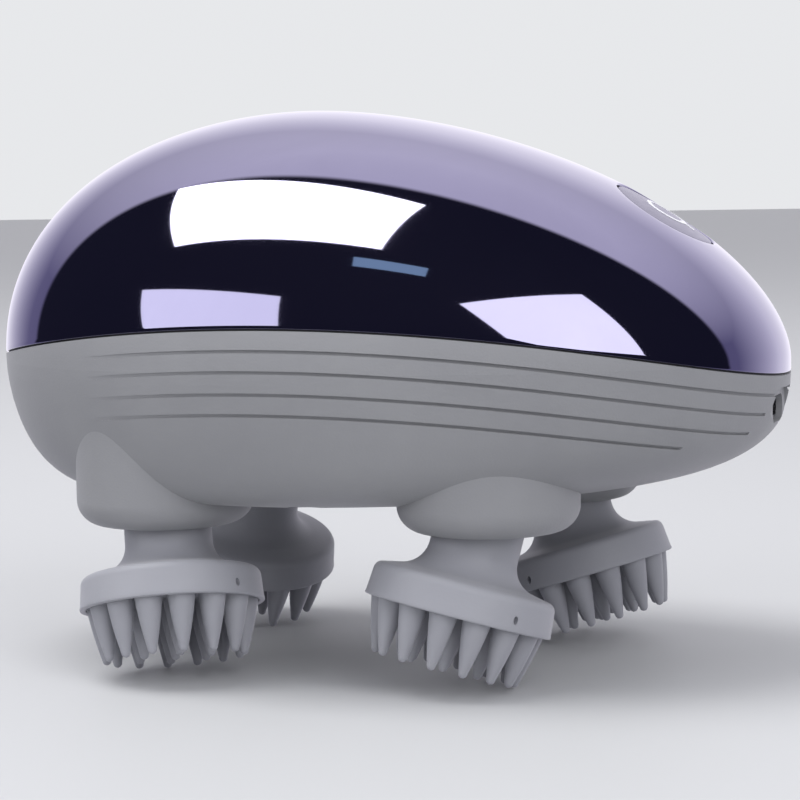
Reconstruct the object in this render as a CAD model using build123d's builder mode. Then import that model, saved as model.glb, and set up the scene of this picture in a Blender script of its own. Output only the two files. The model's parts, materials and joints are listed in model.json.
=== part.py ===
"""Electric scalp massager: an egg-shaped shell on four rotating finger heads.

A glossy cover closes a matte housing along an arched parting line. A planetary gearmotor stands in the
tall rear end and turns a big drive gear through a small pinion. The drive gear turns four head gears at
once. Each head gear drives a vertical shaft that leaves the housing through a round foot, and below the
foot the head hangs on an oblique pin, so its finger pad wobbles as it turns.

Millimetres. +X points to the nose, where the power button and the charging socket are, and +Z is up.
The origin is on the surface that the finger tips stand on, below the middle of the shell.
"""

from build123d import *
from math import acos, atan2, cos, degrees, pi, radians, sin, sqrt, tan
import os

os.makedirs("parts", exist_ok=True)

# ---- driving dimensions ------------------------------------------------------------------------------
half_length = 65.0
half_width = 44.0
dome_height = 40.0  # from the widest level, the equator, to the top
bowl_depth = 21.5  # from the equator down to the underside
apex_shift = 12.4  # how far the top lies behind the middle
dome_power = 1.88  # 2 would be an ellipsoid; less is leaner
bowl_nose_power = 3.2
cover_wall = 2.0
housing_wall = 2.6

arch_rear, arch_top, arch_nose = 0.5, 6.4, -2.5  # parting line above the equator
arch_top_x = -12.0
seal_gap = 0.25

# gears
module = 1.0
pressure_angle = 25.0
drive_teeth, head_teeth, pinion_teeth = 49, 20, 12
gear_thickness = 4.0
play = 0.16  # how much each tooth is thinner than half a pitch
gear_room = module * head_teeth / 2 + 1.6

# heads
drive_x = -3.9  # the drive gear stands a little behind the middle, with the heads round it
head_x = 26.5  # along X from the drive gear to each head
head_to_drive = module * (drive_teeth + head_teeth) / 2
head_y = sqrt(head_to_drive**2 - head_x**2)
head_spots = {
    "rear_right": (drive_x - head_x, -head_y),
    "front_right": (drive_x + head_x, -head_y),
    "front_left": (drive_x + head_x, head_y),
    "rear_left": (drive_x - head_x, head_y),
}
head_tilt = 17.0
low_side = {"rear_right": 120.0, "front_right": 43.0, "front_left": 171.0, "rear_left": -45.0}
catch_turn = {"rear_right": 38.0, "front_right": -82.0, "front_left": 70.0, "rear_left": -62.0}
pivot_drop = 19.5  # the oblique axis crosses the shaft axis this far below the equator
rim_radius = 14.5
rim_reach = 19.0  # along the oblique axis, from the pivot to the rim's edge
finger_length = 8.4
finger_root, finger_tip = 2.15, 0.7
outer_fingers, inner_fingers = 14, 6
outer_ring, inner_ring = 11.3, 6.0
finger_lean = 4.0

foot_radius = 14.0
foot_drop = 25.0
foot_round = 4.0
mouth_radius = 9.8

# The lowest finger tip touches z = 0, which sets the height of the equator.
tip_reach = rim_reach + finger_length - finger_tip
tip_ring = outer_ring - finger_length * tan(radians(finger_lean))
equator = (
    pivot_drop + tip_reach * cos(radians(head_tilt)) + tip_ring * sin(radians(head_tilt)) + finger_tip
)
pivot = equator - pivot_drop
foot_bottom = equator - foot_drop

# stack of levels inside the shell, from the seats in the feet to the deck
seal_floor = equator - 21.9
bearing_floor = equator - 19.9
bearing_top = bearing_floor + 5.0
foot_top = equator - 6.0
gear_floor = equator - 10.0
gear_top = gear_floor + gear_thickness
deck_floor = gear_top + 1.0
deck_thickness = 2.0
deck_top = deck_floor + deck_thickness

shaft_radius = 2.5
axle_radius = 2.0
motor_x = drive_x - module * (drive_teeth + pinion_teeth) / 2
motor_radius = 10.0
gearbox_length = 14.0
can_length = 18.0
cell_radius, cell_length = 9.0, 50.0
cell_rear = -17.0
cradle_floor = 1.5
cell_axis = deck_top + cradle_floor + cell_radius

deck_posts = [(-44.0, 16.0), (-44.0, -16.0), (34.5, 0.0)]
case_posts = [(drive_x, 31.0), (drive_x, -31.0), (-52.0, 0.0)]
board_posts = [(45.0, 7.0), (45.0, -7.0)]
deck_front = 38.0

# grip grooves: drop below the parting line, where each begins at the rear, and how far from the middle
# plane it ends at the nose
grooves = [(3.0, -56.0, 5.0), (6.1, -56.0, 9.0), (9.4, -56.0, 11.0), (12.5, -48.0, 22.0)]
groove_width, groove_depth = 0.5, 0.45

# nose: power button on the slope and charging socket under the parting line
button_rise = 0.575  # share of the dome height at which the button sits
button_radius = 8.5
button_gap = 0.35
button_travel = 0.6
button_sunk = 0.25
socket_z = equator - 7.75
socket_width, socket_height, socket_length = 8.94, 3.2, 7.3
socket_face = 62.3
board_top = socket_z + socket_height / 2 + 1.2


# ---- the egg: every shell surface is this solid with some inset ---------------------------------------
def round_off(level, power):
    """Share of the full width that is left at a share of the height or depth, on a superellipse."""
    return (1 - level**power) ** (1 / power)


def full_side(level):
    """The same for the rear and the sides of the bowl, which stay upright and turn in sharply at the bottom."""
    return (1 - level**1.6) ** 0.1


def bowl_ellipse(drop, inset=0.0):
    """Centre x, half length and half width of the bowl at a depth below the equator."""
    level = drop / (bowl_depth - inset)
    nose = (half_length - inset) * round_off(level, bowl_nose_power)
    rear = (half_length - inset) * full_side(level)
    return (nose - rear) / 2, (nose + rear) / 2, (half_width - inset) * full_side(level)


def dome_ellipse(up, inset=0.0):
    """Centre x, half length and half width of the dome at a share of its height."""
    share = round_off(up, dome_power)
    return -apex_shift * up**1.5, (half_length - inset) * share, (half_width - inset) * share


def egg(inset=0.0, side_inset=None, longer=0.0, back=0.0):
    """The whole body's shape, smaller by inset all round. side_inset, longer and back bend the sides."""
    stretch = (half_length - inset + longer) / (half_length - inset)
    squeeze = 1.0 if side_inset is None else (half_width - side_inset) / (half_width - inset)
    with BuildPart() as dome:
        for angle in (0, 8, 16, 25, 34, 43, 52, 61, 70, 78, 84, 88):
            up = sin(radians(angle))
            centre, along, across = dome_ellipse(up, inset)
            with BuildSketch(Plane.XY.offset(equator + (dome_height - inset) * up)):
                with Locations((centre - back, 0)):
                    Ellipse(along * stretch, across * squeeze)
        loft()
    with BuildPart() as body:
        for level in (0, 0.12, 0.25, 0.38, 0.5, 0.62, 0.73, 0.82, 0.89, 0.94, 0.975, 0.993):
            drop = level * (bowl_depth - inset)
            centre, along, across = bowl_ellipse(drop, inset)
            with BuildSketch(Plane.XY.offset(equator - drop)):
                with Locations((centre - back, 0)):
                    Ellipse(along * stretch, across * squeeze)
        loft()
        add(dome.part)
    return body.part


def arch_slab(low, high, rear=-75.0, nose=75.0):
    """A slab that follows the parting line, from low to high above it, right through the width."""
    with BuildPart() as slab:
        with BuildSketch(Plane.XZ):
            with BuildLine():
                ends = []
                for height in (low, high):
                    arc = ThreePointArc(
                        (-half_length, equator + arch_rear + height),
                        (arch_top_x, equator + arch_top + height),
                        (half_length, equator + arch_nose + height),
                    )
                    rear_line = Line((-75, equator + arch_rear + height), arc @ 0)
                    nose_line = Line(arc @ 1, (75, equator + arch_nose + height))
                    ends.append((rear_line @ 0, nose_line @ 1))
                Line(ends[0][0], ends[1][0])
                Line(ends[0][1], ends[1][1])
            make_face()
        extrude(amount=60, both=True)
        if rear > -75 or nose < 75:
            with Locations(((rear + nose) / 2, 0, equator)):
                Box(nose - rear, 130, 130, mode=Mode.INTERSECT)
    return slab.part


def finish(part, name):
    """Labels one piece and writes it."""
    part.label = name
    export_step(part, f"parts/{name}.step")
    print(name, round(part.volume, 1))


outer = egg()
cover_inside = egg(cover_wall)
housing_inside = egg(housing_wall)

# ---- button frame: origin on the top slope, z out of the surface --------------------------------------
def slope_point(up):
    """The point of the dome's nose side at a share of its height."""
    centre, along, _ = dome_ellipse(up)
    return Vector(centre + along, 0, equator + dome_height * up)


along_slope = (slope_point(button_rise - 0.005) - slope_point(button_rise + 0.005)).normalized()
button_plane = Plane(
    origin=slope_point(button_rise), x_dir=along_slope, z_dir=Vector(-along_slope.Z, 0, along_slope.X)
)
sleeve_radius = button_radius + button_gap + 1.6
sleeve_depth = 8.5

# ---- lower housing ------------------------------------------------------------------------------------
groove_keep = egg(0.0, side_inset=groove_depth, longer=0.3, back=0.62)


def at_heads():
    """Locations over the four head axes."""
    return Locations(*((x, y) for x, y in head_spots.values()))


# a round foot with a rounded lower edge, up into the bowl's skin
with BuildPart() as foot:
    with BuildSketch(Plane.XZ):
        with BuildLine():
            Polyline((0, foot_top), (0, foot_bottom), (foot_radius - foot_round, foot_bottom))
            ThreePointArc(
                (foot_radius - foot_round, foot_bottom),
                (
                    foot_radius - foot_round * (1 - cos(radians(45))),
                    foot_bottom + foot_round * (1 - cos(radians(45))),
                ),
                (foot_radius, foot_bottom + foot_round),
            )
            Polyline((foot_radius, foot_bottom + foot_round), (foot_radius, foot_top), (0, foot_top))
        make_face()
    revolve(axis=Axis.Z)

with BuildPart() as lower_housing:
    add(outer)
    for x, y in head_spots.values():
        add(foot.part.moved(Location((x, y, 0))))
    add(housing_inside, mode=Mode.SUBTRACT)
    add(arch_slab(-60, 0), mode=Mode.INTERSECT)
    # seats for the bearings, standing up inside the feet
    with BuildPart(mode=Mode.PRIVATE) as seats:
        with BuildSketch(Plane.XY.offset(seal_floor)):
            with at_heads():
                Circle(9.6)
        extrude(amount=bearing_top - seal_floor)
        add(egg(1.0), mode=Mode.INTERSECT)
    add(seats.part)
    # locating lip that the cover slips over
    with BuildPart(mode=Mode.PRIVATE) as lip:
        add(egg(cover_wall + 0.2))
        add(egg(cover_wall + 1.3), mode=Mode.SUBTRACT)
        add(arch_slab(-2.0, 2.6), mode=Mode.INTERSECT)
    add(lip.part)
    # screw posts, kept inside the skin
    with BuildPart(mode=Mode.PRIVATE) as posts:
        with BuildSketch(Plane.XY.offset(equator - 22)):
            with Locations(*deck_posts):
                Circle(3.2)
        extrude(amount=22 + deck_floor - equator)
        with BuildSketch(Plane.XY.offset(equator - 22)):
            with Locations(*case_posts):
                Circle(3.6)
        extrude(amount=19)
        with BuildSketch(Plane.XY.offset(equator - 22)):
            with Locations((drive_x, 0)):
                Circle(4.5)
        extrude(amount=22 + gear_floor - 0.5 - equator)
        with BuildSketch(Plane.XY.offset(equator - 22)):
            with Locations(*board_posts):
                Circle(2.4)
        extrude(amount=22 + board_top - 1.2 - equator)
        add(egg(1.0), mode=Mode.INTERSECT)
    add(posts.part)
    # stepped bore through each foot: mouth, seal seat, bearing seat
    with BuildSketch(Plane.XY.offset(foot_bottom - 1)):
        with at_heads():
            Circle(mouth_radius)
    extrude(amount=seal_floor - foot_bottom + 1, mode=Mode.SUBTRACT)
    with BuildSketch(Plane.XY.offset(seal_floor - 1)):
        with at_heads():
            Circle(6.5)
    extrude(amount=bearing_floor - seal_floor + 1, mode=Mode.SUBTRACT)
    with BuildSketch(Plane.XY.offset(bearing_floor)):
        with at_heads():
            Circle(7.0)
    extrude(amount=8, mode=Mode.SUBTRACT)
    # pilot holes for the deck and board screws, and the blind seat of the drive gear's axle
    with BuildSketch(Plane.XY.offset(deck_floor)):
        with Locations(*deck_posts):
            Circle(1.05)
        with Locations((drive_x, 0)):
            Circle(axle_radius)
    extrude(amount=-9, mode=Mode.SUBTRACT)
    with BuildSketch(Plane.XY.offset(board_top)):
        with Locations(*board_posts):
            Circle(0.8)
    extrude(amount=-6, mode=Mode.SUBTRACT)
    # case screws come up from below through counterbored posts
    with BuildSketch(Plane.XY.offset(equator - 30)):
        with Locations(*case_posts):
            Circle(1.35)
    extrude(amount=40, mode=Mode.SUBTRACT)
    with BuildSketch(Plane.XY.offset(equator - 30)):
        with Locations(*case_posts):
            Circle(2.6)
    extrude(amount=30 - 8.0, mode=Mode.SUBTRACT)
    # room for the head gears where they pass close to the wall
    with BuildSketch(Plane.XY.offset(gear_floor - 0.6)):
        with at_heads():
            Circle(gear_room)
    extrude(amount=deck_floor - gear_floor + 0.6, mode=Mode.SUBTRACT)
    # grip grooves that fade out towards the rear and stop short of the middle of the nose
    for drop, rear, nose_end in grooves:
        with BuildPart(mode=Mode.PRIVATE) as groove:
            add(arch_slab(-drop - groove_width / 2, -drop + groove_width / 2, rear))
            add(groove_keep, mode=Mode.SUBTRACT)
            with Locations((60, 0, equator - drop)):
                Box(60, 2 * nose_end, 30, mode=Mode.SUBTRACT)
        add(groove.part, mode=Mode.SUBTRACT)
    # charging socket: shallow pocket on the nose and the opening through the wall
    with BuildSketch(Plane.YZ.offset(63.2)):
        with Locations((0, socket_z)):
            RectangleRounded(14.5, 7.0, 3.0)
    extrude(amount=5, mode=Mode.SUBTRACT)
    with BuildSketch(Plane.YZ.offset(56)):
        with Locations((0, socket_z)):
            RectangleRounded(socket_width + 0.9, socket_height + 0.9, 1.9)
    extrude(amount=12, mode=Mode.SUBTRACT)
finish(lower_housing.part, "lower_housing")

# ---- upper cover --------------------------------------------------------------------------------------
with BuildPart() as upper_cover:
    add(outer)
    add(cover_inside, mode=Mode.SUBTRACT)
    add(arch_slab(seal_gap, 60), mode=Mode.INTERSECT)
    # posts that take the case screws, and the sleeve round the button
    with BuildPart(mode=Mode.PRIVATE) as inside_work:
        with BuildSketch(Plane.XY.offset(equator - 2.9)):
            with Locations(*case_posts):
                Circle(3.6)
        extrude(amount=45)
        with BuildSketch(button_plane.offset(-sleeve_depth)):
            Circle(sleeve_radius)
        extrude(amount=sleeve_depth + 4)
        add(egg(1.0), mode=Mode.INTERSECT)
    add(inside_work.part)
    with BuildSketch(Plane.XY.offset(equator - 3)):
        with Locations(*case_posts):
            Circle(1.05)
    extrude(amount=11, mode=Mode.SUBTRACT)
    with BuildSketch(button_plane.offset(-sleeve_depth - 1)):
        Circle(button_radius + button_gap)
    extrude(amount=sleeve_depth + 8, mode=Mode.SUBTRACT)
finish(upper_cover.part, "upper_cover")

with BuildPart() as shell_seal:
    add(egg(0.45))
    add(egg(cover_wall), mode=Mode.SUBTRACT)
    add(arch_slab(0, seal_gap), mode=Mode.INTERSECT)
finish(shell_seal.part, "shell_seal")

# ---- power button -------------------------------------------------------------------------------------
button_skin = egg(button_sunk)
icon_skin = egg(button_sunk - 0.08)
icon_floor = egg(button_sunk + 0.7)
icon_radius, icon_width = 3.6, 0.75

with BuildPart() as icon_prism:
    with BuildSketch(button_plane.offset(-4)):
        Circle(icon_radius)
        Circle(icon_radius - icon_width, mode=Mode.SUBTRACT)
        with Locations((icon_radius + 0.25, 0)):
            Rectangle(2.6, icon_width)
    extrude(amount=8)

with BuildPart() as button_light_ring:
    add(icon_prism.part)
    add(icon_skin, mode=Mode.INTERSECT)
    add(icon_floor, mode=Mode.SUBTRACT)
finish(button_light_ring.part, "button_light_ring")

with BuildPart() as power_button:
    with BuildSketch(button_plane.offset(-3.2)):
        Circle(button_radius)
    extrude(amount=8)
    with BuildSketch(button_plane.offset(-3.2)):
        Circle(1.6)
    extrude(amount=-1.0)
    add(button_skin, mode=Mode.INTERSECT)
    add(button_light_ring.part, mode=Mode.SUBTRACT)
finish(power_button.part, "power_button")

plunger_top = -4.2
with BuildPart() as switch_plunger:
    with BuildSketch(button_plane.offset(plunger_top)):
        Circle(1.5)
    extrude(amount=-1.2)
finish(switch_plunger.part, "switch_plunger")

with BuildPart() as tact_switch:
    with BuildSketch(button_plane.offset(-sleeve_depth)):
        RectangleRounded(6.0, 6.0, 0.4)
    extrude(amount=3.2)
    with BuildSketch(button_plane.offset(-sleeve_depth + 3.2)):
        Circle(1.75)
    extrude(amount=-2.4, mode=Mode.SUBTRACT)
finish(tact_switch.part, "tact_switch")

with BuildPart() as button_board:
    with BuildSketch(button_plane.offset(-sleeve_depth)):
        Circle(sleeve_radius - 0.2)
        with Locations((0, 9.6), (0, -9.6)):
            Circle(0.9, mode=Mode.SUBTRACT)
    extrude(amount=-1.2)
finish(button_board.part, "button_board")

with BuildPart() as button_seal:
    with BuildSketch(button_plane.offset(-sleeve_depth + 1.0)):
        Circle(button_radius + button_gap)
        Circle(5.2, mode=Mode.SUBTRACT)
    extrude(amount=-1.0)
finish(button_seal.part, "button_seal")


# ---- gears --------------------------------------------------------------------------------------------
def involute(angle):
    return tan(angle) - angle


def around(radius, angle):
    return (radius * cos(angle), radius * sin(angle))


def gear_outline(teeth, turn):
    """A gear's outline as edges, with the middle of a tooth at the angle turn."""
    pitch_r = module * teeth / 2
    base_r = pitch_r * cos(radians(pressure_angle))
    tip_r, root_r = pitch_r + 0.85 * module, pitch_r - 1.1 * module
    half_at_pitch = (pi * module / 2 - play) / 2 / pitch_r
    start_r = max(base_r, root_r)
    middle_r = (start_r + tip_r) / 2
    pitch = 2 * pi / teeth

    def flank(radius, side, tooth):
        """A point of the involute on one side of a tooth."""
        half = half_at_pitch + involute(radians(pressure_angle)) - involute(acos(min(1.0, base_r / radius)))
        return around(radius, radians(turn) + tooth * pitch + side * half)

    with BuildLine() as outline:
        for tooth in range(teeth):
            middle = radians(turn) + tooth * pitch
            rise = ThreePointArc(*(flank(r, -1, tooth) for r in (start_r, middle_r, tip_r)))
            fall = ThreePointArc(*(flank(r, 1, tooth) for r in (tip_r, middle_r, start_r)))
            ThreePointArc(rise @ 1, around(tip_r, middle), fall @ 0)
            ThreePointArc(fall @ 1, around(root_r, middle + pitch / 2), flank(start_r, -1, tooth + 1))
    return outline.edges()


def meshing_turn(direction, driver_teeth, driver_turn, teeth):
    """The turn that puts a gear's gap over the driver's tooth, for a gear that lies in that direction."""
    driver_share = (direction - driver_turn) * driver_teeth / 360 % 1
    share = (0.5 - driver_share) % 1
    return direction + 180 - share * 360 / teeth


with BuildPart() as drive_gear:
    with BuildSketch(Plane.XY.offset(gear_floor)):
        make_face(gear_outline(drive_teeth, 0))
    extrude(amount=gear_thickness)
    with BuildSketch(Plane.XY.offset(gear_top)):
        Circle(19.5)
        Circle(6.5, mode=Mode.SUBTRACT)
    extrude(amount=-1.2, mode=Mode.SUBTRACT)
    with BuildSketch(Plane.XY.offset(gear_floor)):
        with PolarLocations(13.2, 6):
            Circle(4.2)
    extrude(amount=gear_thickness, mode=Mode.SUBTRACT)
    with BuildSketch(Plane.XY.offset(gear_floor)):
        Circle(axle_radius + 0.05)
    extrude(amount=gear_thickness, mode=Mode.SUBTRACT)
finish(drive_gear.part.moved(Location((drive_x, 0, 0))), "drive_gear")

with BuildPart() as drive_gear_axle:
    with BuildSketch(Plane.XY.offset(deck_floor - 9)):
        with Locations((drive_x, 0)):
            Circle(axle_radius)
    extrude(amount=9 + deck_thickness)
    chamfer(drive_gear_axle.faces().sort_by(Axis.Z)[-1].edges(), 0.4)
finish(drive_gear_axle.part, "drive_gear_axle")

with BuildPart() as motor_pinion:
    with BuildSketch(Plane.XY.offset(gear_floor)):
        make_face(gear_outline(pinion_teeth, meshing_turn(180, drive_teeth, 0, pinion_teeth)))
    extrude(amount=gear_thickness)
    with BuildSketch(Plane.XY.offset(gear_floor)):
        Circle(2.0)
    extrude(amount=gear_thickness, mode=Mode.SUBTRACT)
finish(motor_pinion.part.moved(Location((motor_x, 0, 0))), "motor_pinion")

with BuildPart() as motor_output_shaft:
    with BuildSketch(Plane.XY.offset(gear_floor - 0.8)):
        with Locations((motor_x, 0)):
            Circle(2.0)
    extrude(amount=deck_top + 3.0 - gear_floor)
    chamfer(motor_output_shaft.faces().sort_by(Axis.Z)[0].edges(), 0.3)
finish(motor_output_shaft.part, "motor_output_shaft")

# ---- gearmotor ----------------------------------------------------------------------------------------
gearbox_top = deck_top + gearbox_length
can_top = gearbox_top + can_length
with BuildPart() as motor_gearbox:
    with BuildSketch(Plane.XY.offset(deck_top)):
        with Locations((motor_x, 0)):
            Circle(motor_radius)
    extrude(amount=gearbox_length)
    for band in (3.0, gearbox_length - 2.0):
        with BuildSketch(Plane.XY.offset(deck_top + band)):
            with Locations((motor_x, 0)):
                Circle(motor_radius)
                Circle(motor_radius - 0.35, mode=Mode.SUBTRACT)
        extrude(amount=0.6, mode=Mode.SUBTRACT)
    with BuildSketch(Plane.XY.offset(deck_top)):
        with Locations((motor_x, 0)):
            Circle(3.5)
    extrude(amount=-deck_thickness + 0.4)
    with BuildSketch(Plane.XY.offset(deck_floor)):
        with Locations((motor_x, 0)):
            Circle(2.06)
    extrude(amount=deck_thickness + 3.1, mode=Mode.SUBTRACT)
    with BuildSketch(Plane.XY.offset(deck_top)):
        with Locations((motor_x, 7.0), (motor_x, -7.0)):
            Circle(1.0)
    extrude(amount=4.0, mode=Mode.SUBTRACT)
finish(motor_gearbox.part, "motor_gearbox")

with BuildPart() as motor_can:
    with BuildSketch(Plane.XY.offset(gearbox_top)):
        with Locations((motor_x, 0)):
            Circle(motor_radius - 0.4)
    extrude(amount=can_length)
    fillet(motor_can.faces().sort_by(Axis.Z)[-1].edges(), 1.0)
    with BuildSketch(Plane.XY.offset(can_top)):
        with Locations((motor_x, 0)):
            Circle(7.6)
    extrude(amount=-1.0, mode=Mode.SUBTRACT)
finish(motor_can.part, "motor_can")

with BuildPart() as motor_end_cap:
    with BuildSketch(Plane.XY.offset(can_top - 1.0)):
        with Locations((motor_x, 0)):
            Circle(7.6)
    extrude(amount=1.8)
    with BuildSketch(Plane.XY.offset(can_top + 0.8)):
        with Locations((motor_x, 0)):
            Circle(2.6)
    extrude(amount=0.8)
    for side in (-1, 1):
        with BuildSketch(Plane.XY.offset(can_top - 1.0)):
            with Locations((motor_x, 5.2 * side)):
                Rectangle(2.0, 0.5)
        extrude(amount=1.8, mode=Mode.SUBTRACT)
finish(motor_end_cap.part, "motor_end_cap")

with BuildPart() as motor_terminals:
    for side in (-1, 1):
        with BuildSketch(Plane.XY.offset(can_top - 1.0)):
            with Locations((motor_x, 5.2 * side)):
                Rectangle(2.0, 0.5)
        extrude(amount=3.2)
finish(motor_terminals.part, "motor_terminals")

# ---- deck that carries the motor, the upper bushes and the battery ------------------------------------
with BuildPart() as gear_deck:
    deck_centre, deck_along, deck_across = bowl_ellipse(equator - deck_floor, housing_wall + 1.2)
    with BuildSketch(Plane.XY.offset(deck_floor)):
        with Locations((deck_centre, 0)):
            Ellipse(deck_along, deck_across)
        with Locations((deck_front + 50, 0)):
            Rectangle(100, 100, mode=Mode.SUBTRACT)
        with at_heads():
            Circle(4.0, mode=Mode.SUBTRACT)
        with Locations((drive_x, 0)):
            Circle(axle_radius, mode=Mode.SUBTRACT)
        with Locations((motor_x, 0)):
            Circle(3.5, mode=Mode.SUBTRACT)
        with Locations((motor_x, 7.0), (motor_x, -7.0)):
            Circle(1.3, mode=Mode.SUBTRACT)
        with Locations(*deck_posts):
            Circle(1.35, mode=Mode.SUBTRACT)
        with Locations(*case_posts):
            Circle(4.2, mode=Mode.SUBTRACT)
    extrude(amount=deck_thickness)
finish(gear_deck.part, "gear_deck")


def pan_screw(head_radius, head_height, radius, length):
    """A pan head screw with a cross recess, standing head up with its seat at z = 0."""
    with BuildPart() as screw:
        with BuildSketch(Plane.XY):
            Circle(head_radius)
        extrude(amount=head_height)
        fillet(screw.faces().sort_by(Axis.Z)[-1].edges(), head_height * 0.45)
        with BuildSketch(Plane.XY):
            Circle(radius)
        extrude(amount=-length)
        with BuildSketch(Plane.XY.offset(head_height)):
            Rectangle(head_radius * 1.2, head_radius * 0.26)
            Rectangle(head_radius * 0.26, head_radius * 1.2)
        extrude(amount=-head_height * 0.6, mode=Mode.SUBTRACT)
    return screw.part


def placed(solid, spots):
    """Copies of one solid at several locations, as one group of separate solids."""
    return Compound(children=[solid.moved(spot) for spot in spots])


deck_screw = pan_screw(2.3, 1.5, 1.05, 8.0)
finish(placed(deck_screw, [Location((x, y, deck_top)) for x, y in deck_posts]), "deck_screws")

case_screw = pan_screw(2.4, 1.5, 1.05, 12.0)
finish(
    placed(case_screw, [Location((x, y, equator - 8.0), (180, 0, 0)) for x, y in case_posts]),
    "case_screws",
)

with BuildPart() as screw_plugs:
    with BuildSketch(Plane.XY.offset(equator - 24)):
        with Locations(*case_posts):
            Circle(2.58)
    extrude(amount=24 - 11.0)
    add(egg(0.1), mode=Mode.INTERSECT)
finish(screw_plugs.part, "screw_plugs")

with BuildPart() as motor_screws:
    with BuildSketch(Plane.XY.offset(deck_floor)):
        with Locations((motor_x, 7.0), (motor_x, -7.0)):
            Circle(1.0)
    extrude(amount=deck_thickness + 4.0)
    with BuildSketch(Plane.XY.offset(deck_floor)):
        with Locations((motor_x, 7.0), (motor_x, -7.0)):
            Circle(1.9)
    extrude(amount=-0.6)
finish(motor_screws.part, "motor_screws")

# ---- battery ------------------------------------------------------------------------------------------
with BuildPart() as battery_cell:
    with BuildSketch(Plane.YZ.offset(cell_rear)):
        with Locations((0, cell_axis)):
            Circle(cell_radius)
    extrude(amount=cell_length)
    fillet(battery_cell.edges().filter_by(GeomType.CIRCLE), 0.8)
    with BuildSketch(Plane.YZ.offset(cell_rear + cell_length)):
        with Locations((0, cell_axis)):
            Circle(2.8)
    extrude(amount=1.0)
finish(battery_cell.part, "battery_cell")

with BuildPart() as battery_cradle:
    with BuildSketch(Plane.XY.offset(deck_top)):
        with Locations((cell_rear + cell_length / 2, 0)):
            RectangleRounded(cell_length - 8, 2 * cell_radius + 1, 2)
    extrude(amount=cradle_floor + 4.5)
    with BuildSketch(Plane.YZ.offset(cell_rear - 5)):
        with Locations((0, cell_axis)):
            Circle(cell_radius + 0.02)
    extrude(amount=cell_length + 10, mode=Mode.SUBTRACT)
    with BuildSketch(Plane.XY.offset(deck_top)):
        with Locations((drive_x, 0)):
            Circle(axle_radius + 1.0)
    extrude(amount=1.0, mode=Mode.SUBTRACT)
finish(battery_cradle.part, "battery_cradle")

with BuildPart() as battery_strap:
    with BuildSketch(Plane.YZ.offset(cell_rear + cell_length / 2 - 4)):
        with Locations((0, cell_axis)):
            Circle(cell_radius + 0.7)
            Circle(cell_radius, mode=Mode.SUBTRACT)
            with Locations((0, -cell_radius - 5 + 2.4)):
                Rectangle(40, 15, mode=Mode.SUBTRACT)
    extrude(amount=8)
finish(battery_strap.part, "battery_strap")

# ---- electronics --------------------------------------------------------------------------------------
board_rear, board_front = 39.5, 58.0
with BuildPart() as control_board:
    board_centre, board_along, board_across = bowl_ellipse(equator - board_top + 1.2, housing_wall + 1.6)
    with BuildSketch(Plane.XY.offset(board_top - 1.2)):
        with Locations((board_centre, 0)):
            Ellipse(board_along, board_across)
        with Locations(((board_rear + board_front) / 2, 0)):
            Rectangle(board_front - board_rear, 30, mode=Mode.INTERSECT)
        with Locations(*board_posts):
            Circle(1.1, mode=Mode.SUBTRACT)
    extrude(amount=1.2)
finish(control_board.part, "control_board")

with BuildPart() as board_chips:
    with BuildSketch(Plane.XY.offset(board_top)):
        with Locations((49.5, 0)):
            RectangleRounded(5, 5, 0.3)
        with Locations((50.5, 7.5), (50.5, -7.5)):
            Rectangle(3.0, 1.6)
    extrude(amount=1.0)
    with BuildSketch(Plane.XY.offset(board_top)):
        with Locations((44.5, 0)):
            RectangleRounded(4.2, 4.2, 0.8)
    extrude(amount=2.4)
finish(board_chips.part, "board_chips")

board_screw = pan_screw(1.8, 1.2, 0.8, 6.0)
finish(placed(board_screw, [Location((x, y, board_top)) for x, y in board_posts]), "board_screws")

with BuildPart() as charge_socket:
    with BuildSketch(Plane.YZ.offset(socket_face - socket_length)):
        with Locations((0, socket_z)):
            RectangleRounded(socket_width, socket_height, 1.55)
    extrude(amount=socket_length)
    with BuildSketch(Plane.YZ.offset(socket_face)):
        with Locations((0, socket_z)):
            RectangleRounded(socket_width - 0.6, socket_height - 0.6, 1.25)
    extrude(amount=-socket_length + 0.8, mode=Mode.SUBTRACT)
finish(charge_socket.part, "charge_socket")

with BuildPart() as socket_tongue:
    with BuildSketch(Plane.YZ.offset(socket_face - socket_length + 0.8)):
        with Locations((0, socket_z)):
            RectangleRounded(socket_width - 0.6, socket_height - 0.6, 1.25)
    extrude(amount=1.2)
    with BuildSketch(Plane.YZ.offset(socket_face - socket_length + 2.0)):
        with Locations((0, socket_z)):
            Rectangle(6.7, 0.7)
    extrude(amount=4.4)
finish(socket_tongue.part, "socket_tongue")

# ---- seats of the head shafts: seal, bearing and upper bush in each place ------------------------------
upright = [Location((x, y, 0)) for x, y in head_spots.values()]

with BuildPart() as shaft_seal:
    with BuildSketch(Plane.XY.offset(seal_floor)):
        Circle(6.5)
        Circle(shaft_radius + 0.03, mode=Mode.SUBTRACT)
    extrude(amount=bearing_floor - seal_floor)
    with BuildSketch(Plane.XY.offset(seal_floor)):
        Circle(5.3)
        Circle(3.4, mode=Mode.SUBTRACT)
    extrude(amount=1.1, mode=Mode.SUBTRACT)
finish(placed(shaft_seal.part, upright), "shaft_seals")

with BuildPart() as lower_bearing:
    with BuildSketch(Plane.XY.offset(bearing_floor)):
        Circle(7.0)
        Circle(shaft_radius + 0.02, mode=Mode.SUBTRACT)
    extrude(amount=bearing_top - bearing_floor)
    for face in (bearing_floor, bearing_top):
        with BuildSketch(Plane.XY.offset(face)):
            Circle(6.0)
            Circle(3.6, mode=Mode.SUBTRACT)
        extrude(amount=0.4 if face == bearing_floor else -0.4, mode=Mode.SUBTRACT)
finish(placed(lower_bearing.part, upright), "lower_bearings")

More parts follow.
